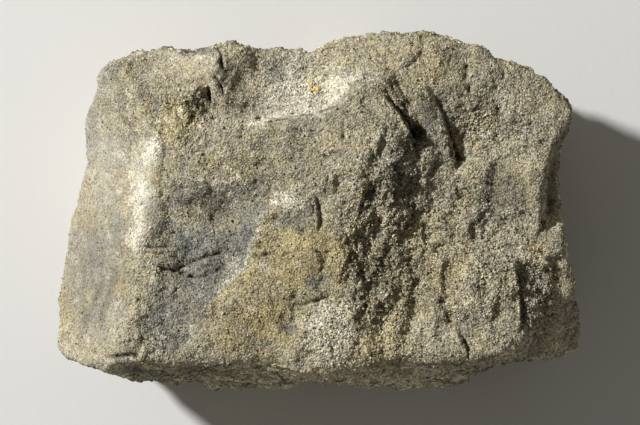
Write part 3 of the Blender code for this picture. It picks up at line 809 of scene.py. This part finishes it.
def colour_zones(places, normals):
    """Where each colour lies on the stone, as soft masks for points with their surface's normals."""
    flat = places[:, :2]
    shift = shifts(places, COLOUR_SHIFTS)
    x, y = (flat + shift).T
    upper = rise(normals[:, 2], start=-0.1, width=0.4)
    side = fall(normals[:, 2], end=0.55, width=0.3) * rise(places[:, 0], start=-42.0, width=6.0)
    beyond, _ = beside(*(flat + 0.3 * shift).T, BED_BORDER)
    big, mid, small = swell(places, 9.0, 75), swell(places, 4.0, 76), swell(places, 1.8, 78)
    dust = np.maximum(swell(places, 2.6, 79) + 0.5 * swell(places, 1.2, 80) - 0.15, 0.0)
    streak = swell(places, (1.3, 12.0, 12.0), 77) * fall(places[:, 0], end=-34.0, width=3.0)
    side_streak = swell(places, (9.0, 9.0, 5.0), 81) + 0.8 * swell(places, (3.0, 3.0, 3.4), 82)
    side_streak += 0.7 * swell(places, (2.0, 1.2, 2.2), 83)

    grey, ochre = bed_colours(x, y, beyond)
    chalk = patches(x, y, CHALK), pale_seam(y, beyond), rim_coat(*(flat + 0.2 * shift).T), 0.6 * dust
    # Dark film, painted shadow in some shaded recesses, and dark bed joints on the sides.
    film_and_shade = 0.6 * patches(x, y, DIRT_AND_SHADOW) * upper + 0.35 * side * bed_joint(places)
    return {
        "grey": (grey * (0.8 + 0.4 * mid) + 0.6 * np.maximum(small, 0.0)) * upper
        + 0.25 * (1.0 - upper) * ease(big + 0.5) + 0.25 * np.maximum(-streak, 0.0),
        "ochre": (ochre * (1.0 + 0.5 * small) + 0.35 * big + 0.30 * mid - 0.35 * small + 0.14)
        * (0.6 + 0.4 * upper) + 0.3 * np.maximum(streak, 0.0),
        "chalk": np.maximum.reduce(chalk) * upper,
        "pale": patches(x, y, PALE) * (0.5 + 0.5 * upper) + 0.3 * streak,
        "iron": patches(x, y, IRON) * upper,
        # Dark film with painted shadows, and painted shade in the cracks.
        "dirt_and_shade": np.maximum(film_and_shade, 0.9 * crack_shade(*(flat + 0.12 * shift).T) * upper),
        "tone": 0.5 + sum(oval.share * inside(x, y, oval) for oval in TONES)
        + 0.10 * streak + 0.05 * mid + 0.04 * small + 1.6 * side_streak * side,
        "rough": ruggedness(places[:, 0], places[:, 1]) + 0.4 * side,
    }


def colour_surface(mesh):
    """Write the colour zones on the stone, with painted shade in its hollows."""
    places, normals = points_of(mesh), normals_of(mesh)
    masks = colour_zones(places, normals)
    # Painted shade: darker the deeper a point lies in a hollow, where shade falls.
    masks["dirt_and_shade"] += 0.5 * rise(hollowness(mesh, rounds=14), start=0.13, width=0.40)
    for name, values in masks.items():
        write_mask(mesh, name, values)


def build_surface(sizes):
    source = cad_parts[NODE]
    mesh = source.data.copy()
    mesh.transform(source.matrix_world)
    mesh.transform(Matrix.Scale(1.0 / MM, 4))
    stone = shown("sandstone_surface", mesh)
    worked(stone, "REMESH", mode="VOXEL", voxel_size=sizes.voxel / MM)
    mesh = worked(stone, "SMOOTH", factor=0.5, iterations=10)
    break_surface(mesh, sizes)
    carve_surface(mesh)
    grain_surface(mesh, sizes)
    triangles = sum(len(face.vertices) - 2 for face in mesh.polygons)
    mesh = worked(stone, "DECIMATE", ratio=min(1.0, sizes.most_triangles / triangles))
    settle(mesh)
    colour_surface(mesh)
    mesh.transform(Matrix.Scale(MM, 4))
    mesh.name = stone.name
    mesh.materials.clear()
    mesh.shade_smooth()
    return stone


def settle(mesh):
    """Hold the flat underside level, where the stone lies on the table."""
    places = points_of(mesh)
    places[:, 2] -= places[:, 2].min()
    places[:, 2] = np.where(places[:, 2] < BASE_HEIGHT, 0.0, places[:, 2])
    place_points(mesh, places)


# Loose and standing grains


@dataclass
class GrainKind:
    """One kind of grain: how many there are, how wide in millimetres, and where they lie thickest.

    sides is the number of triangles of a grain, 12 or 20. sunk is the share of its radius by which it may lie
    deeper, and everywhere is how thick they lie outside their own patches. tones are the darkest and the
    lightest of them, where the stone under them is 0.5.
    """

    name: str
    count: int
    sides: int
    least: float
    most: float
    sunk: float
    everywhere: float
    where: tuple
    tones: tuple
    seed: int


GRAINS = (
    GrainKind("sand_grains", 16500, 12, 0.18, 0.42, 0.8, 0.50, RUGGED, (0.22, 0.82), 102),
    GrainKind(
        "coarse_sand_grains", 4500, 20, 0.32, 0.74, 0.9, 0.08, RUGGED_RIGHT + COARSE, (0.35, 0.75), 106
    ),
    GrainKind("quartz_grains", 3600, 20, 0.22, 0.66, 0.8, 0.03, COARSE, (0.75, 1.0), 101),
    GrainKind("dark_grains", 4200, 12, 0.18, 0.36, 1.0, 0.40, DIRT_AND_SHADOW + RUGGED_RIGHT, (0.0, 0.20), 103),
    GrainKind("chalk_crumbs", 3000, 20, 0.20, 0.60, 0.9, 0.008, THICK_CHALK, (0.40, 0.62), 104),
    GrainKind("iron_grains", 160, 20, 0.24, 0.90, 0.9, 0.0, IRON_SPOTS, (0.4, 0.6), 105),
)

ROUND_SIDES = 20
# How many forms a kind of grain has, a block's width, how far corners are pushed, and how far forms stretch
GRAIN_FORMS = 24
BLOCK_WIDTH = 1.25
CORNER_PUSH = (0.72, 1.12)
STRETCH = (0.7, 1.2)
# The height of the lowest grain, and how thick grains lie on the sides and on the smoothest stone
LOWEST_GRAIN = 1.2
SIDES_SHARE = 0.15
SMOOTH_SHARE = 0.35


def corners_of(mesh):
    """The three corners of every triangle."""
    mesh.calc_loop_triangles()
    return points_of(mesh)[read(mesh.loop_triangles, "vertices", 3, int)]


def grain_forms(chance, forms, sides):
    """Small angular solids: blocks of 12 triangles or rounder ones of 20, with corners pushed in and out."""
    made = bmesh.new()
    if sides == ROUND_SIDES:
        bmesh.ops.create_icosphere(made, subdivisions=1, radius=1.0)
    else:
        bmesh.ops.create_cube(made, size=BLOCK_WIDTH)
        bmesh.ops.triangulate(made, faces=made.faces)
    corners = np.array([vertex.co for vertex in made.verts])
    faces = np.array([[vertex.index for vertex in face.verts] for face in made.faces])
    made.free()
    pushed = corners * chance.uniform(*CORNER_PUSH, (forms, len(corners), 1))
    return pushed * chance.uniform(*STRETCH, (forms, 1, 3)), faces


def turns(chance, count):
    """Random turns, one 3 by 3 matrix for each grain."""
    spin = chance.normal(size=(count, 4))
    w, x, y, z = (spin / np.linalg.norm(spin, axis=1)[:, None]).T
    rows = (
        (1 - 2 * (y * y + z * z), 2 * (x * y - z * w), 2 * (x * z + y * w)),
        (2 * (x * y + z * w), 1 - 2 * (x * x + z * z), 2 * (y * z - x * w)),
        (2 * (x * z - y * w), 2 * (y * z + x * w), 1 - 2 * (x * x + y * y)),
    )
    return np.array(rows).transpose(2, 0, 1)


def triangle_mesh(name, places, triangles):
    mesh = bpy.data.meshes.new(name)
    mesh.vertices.add(len(places))
    mesh.vertices.foreach_set("co", places.ravel())
    mesh.loops.add(triangles.size)
    mesh.loops.foreach_set("vertex_index", triangles.ravel())
    mesh.polygons.add(len(triangles))
    mesh.polygons.foreach_set("loop_start", np.arange(0, triangles.size, 3))
    mesh.update(calc_edges=True)
    return mesh


def seats_for(stone, kind, chance):
    """Random places on the stone's triangles for one kind of grain, with the normals there."""
    corners = corners_of(stone.data) / MM
    normals = np.cross(corners[:, 1] - corners[:, 0], corners[:, 2] - corners[:, 0])
    areas = np.linalg.norm(normals, axis=1) / 2.0
    normals /= np.maximum(2.0 * areas, 1e-9)[:, None]
    x, y, z = corners.mean(axis=1).T
    upper = rise(normals[:, 2], start=0.1, width=0.3)
    wanted = kind.everywhere + patches(x, y, kind.where) ** 1.5 * upper
    wanted *= SMOOTH_SHARE + (1.0 - SMOOTH_SHARE) * ruggedness(x, y)
    wanted *= areas * (SIDES_SHARE + (1.0 - SIDES_SHARE) * upper) * (z > LOWEST_GRAIN)
    picked = chance.choice(len(corners), kind.count, p=wanted / wanted.sum())
    share = np.sort(chance.random((kind.count, 2)), axis=1)
    share = np.stack([share[:, 0], share[:, 1] - share[:, 0], 1.0 - share[:, 1]], axis=1)
    return (corners[picked] * share[:, :, None]).sum(axis=1), normals[picked]


def build_grains(stone, kind):
    chance = np.random.default_rng(kind.seed)
    seats, normals = seats_for(stone, kind, chance)
    radii = (kind.least + (kind.most - kind.least) * chance.random(kind.count) ** 2.0) / 2.0
    lift = radii * (0.35 - kind.sunk * chance.random(kind.count))
    forms, faces = grain_forms(chance, GRAIN_FORMS, kind.sides)
    grains = forms[chance.integers(0, len(forms), kind.count)] * radii[:, None, None]
    centres = seats + normals * lift[:, None]
    grains = np.einsum("nij,nkj->nki", turns(chance, kind.count), grains) + centres[:, None, :]
    triangles = faces[None, :, :] + (np.arange(kind.count) * forms.shape[1])[:, None, None]
    mesh = triangle_mesh(kind.name, grains.reshape(-1, 3) * MM, triangles.reshape(-1, 3))
    masks = colour_zones(seats, normals)
    masks["tone"] += chance.uniform(*kind.tones, kind.count) - 0.5
    for name, values in masks.items():
        write_mask(mesh, name, np.repeat(values, forms.shape[1]))
    return shown(kind.name, mesh)


# Materials


def add(tree, kind, inputs=None, **settings):
    """A new node with its settings, and its sockets set to values or linked to other nodes' sockets."""
    made = tree.nodes.new(kind)
    for name, value in settings.items():
        setattr(made, name, value)
    for name, value in (inputs or {}).items():
        if isinstance(value, bpy.types.NodeSocket):
            tree.links.new(value, made.inputs[name])
        else:
            made.inputs[name].default_value = value
    return made


def maths(tree, operation, first, second=0.0, clamp=False):
    made = add(tree, "ShaderNodeMath", {0: first, 1: second}, operation=operation)
    made.use_clamp = clamp
    return made.outputs[0]


def plus(tree, first, second):
    return maths(tree, "ADD", first, second)


def times(tree, first, second):
    return maths(tree, "MULTIPLY", first, second)


def blend(tree, share, first, second, way="MIX"):
    """Mix two colours: a share of the second laid over the first."""
    made = tree.nodes.new("ShaderNodeMix")
    made.data_type = "RGBA"
    made.blend_type = way
    for socket, value in (("Factor_Float", share), ("A_Color", first), ("B_Color", second)):
        target = next(one for one in made.inputs if one.identifier == socket)
        if isinstance(value, bpy.types.NodeSocket):
            tree.links.new(value, target)
        elif isinstance(value, (int, float)):
            target.default_value = value
        else:
            target.default_value = (*tuple(value)[:3], 1.0)
    return next(one for one in made.outputs if one.identifier == "Result_Color")


def new_group(name, inputs, outputs):
    """An empty node group with number sockets. inputs holds their names and defaults, and outputs names."""
    group = bpy.data.node_groups.new(name, "ShaderNodeTree")
    for label, default in inputs.items():
        socket = group.interface.new_socket(name=label, in_out="INPUT", socket_type="NodeSocketFloat")
        socket.default_value = default
    for label in outputs:
        group.interface.new_socket(name=label, in_out="OUTPUT", socket_type="NodeSocketFloat")
    return group, group.nodes.new("NodeGroupInput").outputs, group.nodes.new("NodeGroupOutput").inputs


def new_noise(tree, place, scale, detail, roughness=0.5):
    inputs = {"Vector": place, "Scale": scale, "Detail": detail, "Roughness": roughness}
    return add(tree, "ShaderNodeTexNoise", inputs).outputs["Fac"]


def sand_group():
    """Sand grains: a shade for each grain, dark specks, and the height of the rounded grains."""
    group, given, result = new_group(
        "sand_grains",
        {"Grain": 0.5, "Contrast": 0.5, "Specks": 0.3},
        ("Shade", "Specks", "Height", "Roughness"),
    )
    place = add(group, "ShaderNodeTexCoord").outputs["Object"]
    scaled = add(group, "ShaderNodeVectorMath", {0: place, "Scale": 1.0 / MM}, operation="SCALE").outputs[0]
    per_grain = maths(group, "DIVIDE", 1.0, given["Grain"])
    cells = add(group, "ShaderNodeTexVoronoi", {"Vector": scaled, "Scale": per_grain})
    single = add(group, "ShaderNodeSeparateColor", {"Color": cells.outputs["Color"]}).outputs[0]
    patch = new_noise(group, scaled, scale=0.22, detail=7.0, roughness=0.72)
    spread = plus(group, maths(group, "SUBTRACT", single, 0.5), maths(group, "SUBTRACT", patch, 0.5))
    shade = plus(group, 1.0, times(group, spread, given["Contrast"]))

    dots = add(group, "ShaderNodeTexVoronoi", {"Vector": scaled, "Scale": SPECKS_A_MM})
    chosen = add(group, "ShaderNodeSeparateColor", {"Color": dots.outputs["Color"]}).outputs[1]
    small = maths(group, "LESS_THAN", dots.outputs["Distance"], SPECK_SIZE)
    specks = times(group, small, maths(group, "LESS_THAN", chosen, given["Specks"]))

    dome = maths(group, "SUBTRACT", 1.0, maths(group, "POWER", cells.outputs["Distance"], 2.0))
    fine = new_noise(group, scaled, scale=2.2, detail=1.0, roughness=0.7)
    height = plus(group, times(group, dome, 0.7), times(group, fine, 2.0))
    roughness = maths(group, "ADD", 0.78, times(group, fine, 0.3), clamp=True)
    for name, value in (("Shade", shade), ("Specks", specks), ("Height", height), ("Roughness", roughness)):
        group.links.new(value, result[name])
    return group


def stored(tree, name):
    """A mask that the mesh carries."""
    return add(tree, "ShaderNodeAttribute", attribute_name=name).outputs["Fac"]


def broken_mask(tree, name, edge, seed):
    """A mask that the mesh carries, with a ragged edge."""
    mask = stored(tree, name)
    place = add(tree, "ShaderNodeTexCoord").outputs["Object"]
    ragged = add(
        tree, "ShaderNodeTexNoise",
        {"Vector": place, "W": seed, "Scale": RAGGEDNESS / MM, "Detail": 2.0, "Roughness": 0.65},
        noise_dimensions="4D",
    ).outputs["Fac"]
    lifted = plus(tree, mask, times(tree, maths(tree, "SUBTRACT", ragged, 0.5), edge))
    held = maths(tree, "MINIMUM", times(tree, mask, 6.0), 1.0)
    return maths(tree, "MULTIPLY", held, lifted, clamp=True)


def new_material(name):
    material = bpy.data.materials.new(name)
    material.use_nodes = True
    return material, material.node_tree, material.node_tree.nodes["Principled BSDF"]


def stone_material(name, sand, colours, gloss):
    material, tree, shader = new_material(name)
    rough = stored(tree, "rough")
    contrast = plus(tree, PLAIN_CONTRAST, times(tree, rough, ROUGH_CONTRAST))
    grains = add(tree, "ShaderNodeGroup", node_tree=sand)
    grains.inputs["Grain"].default_value = DRAWN_GRAIN
    grains.inputs["Specks"].default_value = SPECKS
    tree.links.new(contrast, grains.inputs["Contrast"])
    body = blend(tree, broken_mask(tree, "pale", 0.3, 1.0), colours.buff, colours.pale)
    for mask, edge, seed, laid in (
        ("ochre", 0.5, 2.0, colours.ochre),
        ("grey", 0.6, 3.0, colours.grey),
        ("chalk", 1.0, 5.0, colours.chalk),
        ("iron", 0.6, 4.0, colours.iron),
    ):
        body = blend(tree, broken_mask(tree, mask, edge, seed), body, laid)
    toned = plus(tree, DARKEST_TONE, times(tree, stored(tree, "tone"), TONE_SPAN))
    shaded = blend(tree, 1.0, body, times(tree, toned, grains.outputs["Shade"]), "MULTIPLY")
    specks = times(tree, grains.outputs["Specks"], SPECK_STRENGTH)
    shaded = blend(tree, specks, shaded, colours.dirt_and_shade)
    # Dirt and painted shade: dark film, with shade painted into the cracks, the hollows and some shaded
    # recesses.
    shaded = blend(tree, broken_mask(tree, "dirt_and_shade", 0.5, 6.0), shaded, colours.dirt_and_shade)
    tree.links.new(shaded, shader.inputs["Base Color"])
    tree.links.new(times(tree, grains.outputs["Roughness"], gloss), shader.inputs["Roughness"])
    relief = times(tree, grains.outputs["Height"], plus(tree, PLAIN_BUMP, rough))
    bump = add(tree, "ShaderNodeBump", {"Strength": 1.0, "Distance": BUMP_DEPTH, "Height": relief})
    tree.links.new(bump.outputs["Normal"], shader.inputs["Normal"])
    shader.inputs["Specular IOR Level"].default_value = 0.3
    return material


def table_material(tint):
    material, tree, shader = new_material("pale_table_top")
    place = add(tree, "ShaderNodeTexCoord").outputs["Object"]
    broad = new_noise(tree, place, scale=9.0, detail=3.0)
    fine = new_noise(tree, place, scale=900.0, detail=2.0)
    shade = plus(tree, 0.97, times(tree, broad, 0.05))
    tree.links.new(blend(tree, 1.0, tint, shade, "MULTIPLY"), shader.inputs["Base Color"])
    tree.links.new(plus(tree, 0.75, times(tree, fine, 0.15)), shader.inputs["Roughness"])
    bump = add(tree, "ShaderNodeBump", {"Strength": 0.25, "Distance": 0.0001, "Height": fine})
    tree.links.new(bump.outputs["Normal"], shader.inputs["Normal"])
    return material


# Operators


def shared_sand():
    """The sand grains' node group, which is built once."""
    return bpy.data.node_groups.get("sand_grains") or sand_group()


class SANDSTONE_OT_surface(bpy.types.Operator):
    """Build the stone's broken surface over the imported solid"""

    bl_idname = "sandstone.surface"
    bl_label = "Broken surface"
    bl_options = {"REGISTER", "UNDO"}

    def execute(self, context):
        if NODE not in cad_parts:
            raise RuntimeError(f"The frame has no node {NODE}.")
        stone = build_surface(context.scene.stone_surface)
        colours = context.scene.stone_colours
        stone.data.materials.append(stone_material("broken_sandstone", shared_sand(), colours, 1.0))
        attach(stone, "root")
        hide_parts(NODE)
        return {"FINISHED"}


class SANDSTONE_OT_grains(bpy.types.Operator):
    """Set the standing and loose grains on the stone's surface"""

    bl_idname = "sandstone.grains"
    bl_label = "Grains"
    bl_options = {"REGISTER", "UNDO"}

    def execute(self, context):
        stone = bpy.data.objects.get("sandstone_surface")
        if stone is None:
            raise RuntimeError("The grains need the broken surface first.")
        colours = context.scene.stone_colours
        quartz = stone_material("bright_quartz", shared_sand(), colours, QUARTZ_GLOSS)
        for kind in GRAINS:
            grains = build_grains(stone, kind)
            grains.data.materials.append(quartz if kind.name == "quartz_grains" else stone.data.materials[0])
            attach(grains, "root")
        return {"FINISHED"}


def aim(obj, towards):
    """Turn a lamp or a camera, which looks along its own -Z, away from the given direction."""
    obj.rotation_euler = towards.to_track_quat("Z", "Y").to_euler()


class SANDSTONE_OT_stage(bpy.types.Operator):
    """Lay out the pale table, the soft lamp and the camera over the stone"""

    bl_idname = "sandstone.stage"
    bl_label = "Stage"
    bl_options = {"REGISTER", "UNDO"}

    def execute(self, context):
        scene, settings = context.scene, context.scene.stone_stage
        made = bmesh.new()
        bmesh.ops.create_grid(made, x_segments=8, y_segments=8, size=settings.floor_width / 2.0)
        mesh = bpy.data.meshes.new("table_top")
        made.to_mesh(mesh)
        made.free()
        floor = shown("table_top", mesh)
        mesh.materials.append(table_material(settings.floor))

        world = bpy.data.worlds.new("studio")
        world.use_nodes = True
        air = world.node_tree.nodes["Background"]
        air.inputs["Color"].default_value = (*settings.fill_tint, 1.0)
        air.inputs["Strength"].default_value = settings.fill
        scene.world = world

        lamp = bpy.data.lights.new("soft_lamp", "AREA")
        lamp.shape = "DISK"
        lamp.size = LAMP_WIDTH
        lamp.energy = settings.key
        flat = cos(radians(LIGHT_HEIGHT))
        towards = Vector((LIGHT_TOWARDS[0], LIGHT_TOWARDS[1], 0.0)).normalized() * flat
        towards.z = sin(radians(LIGHT_HEIGHT))
        key = shown("soft_lamp", lamp)
        key.location = towards * LIGHT_DISTANCE
        aim(key, towards)

        eye = bpy.data.cameras.new("camera")
        eye.sensor_width = SENSOR_WIDTH
        above_middle = settings.camera_height - STONE_MIDDLE
        eye.lens = SENSOR_WIDTH * above_middle / settings.view_width
        eye.clip_start, eye.clip_end = CAMERA_REACH
        camera = shown("camera", eye)
        camera.location = (*CAMERA_ASIDE, settings.camera_height)
        scene.camera = camera
        scene.view_settings.view_transform = "Standard"
        return {"FINISHED"}


class SANDSTONE_PT_panel(bpy.types.Panel):
    """Sizes, colours and steps of the sandstone specimen"""

    bl_idname = "SANDSTONE_PT_panel"
    bl_label = "Sandstone"
    bl_space_type = "VIEW_3D"
    bl_region_type = "UI"
    bl_category = "Sandstone"

    def draw(self, context):
        for settings, operator in (
            (context.scene.stone_surface, SANDSTONE_OT_surface.bl_idname),
            (context.scene.stone_colours, SANDSTONE_OT_grains.bl_idname),
            (context.scene.stone_stage, SANDSTONE_OT_stage.bl_idname),
        ):
            box = self.layout.box()
            for name in settings.__annotations__:
                box.prop(settings, name)
            box.operator(operator)


CLASSES = (
    StoneSurface,
    StoneColours,
    StageSettings,
    SANDSTONE_OT_surface,
    SANDSTONE_OT_grains,
    SANDSTONE_OT_stage,
    SANDSTONE_PT_panel,
)


def register():
    for kind in CLASSES:
        bpy.utils.register_class(kind)
    bpy.types.Scene.stone_surface = PointerProperty(type=StoneSurface)
    bpy.types.Scene.stone_colours = PointerProperty(type=StoneColours)
    bpy.types.Scene.stone_stage = PointerProperty(type=StageSettings)


def unregister():
    del bpy.types.Scene.stone_stage
    del bpy.types.Scene.stone_colours
    del bpy.types.Scene.stone_surface
    for kind in reversed(CLASSES):
        bpy.utils.unregister_class(kind)


def main():
    register()
    bpy.ops.sandstone.surface()
    bpy.ops.sandstone.grains()
    bpy.ops.sandstone.stage()


if __name__ == "__main__":
    main()
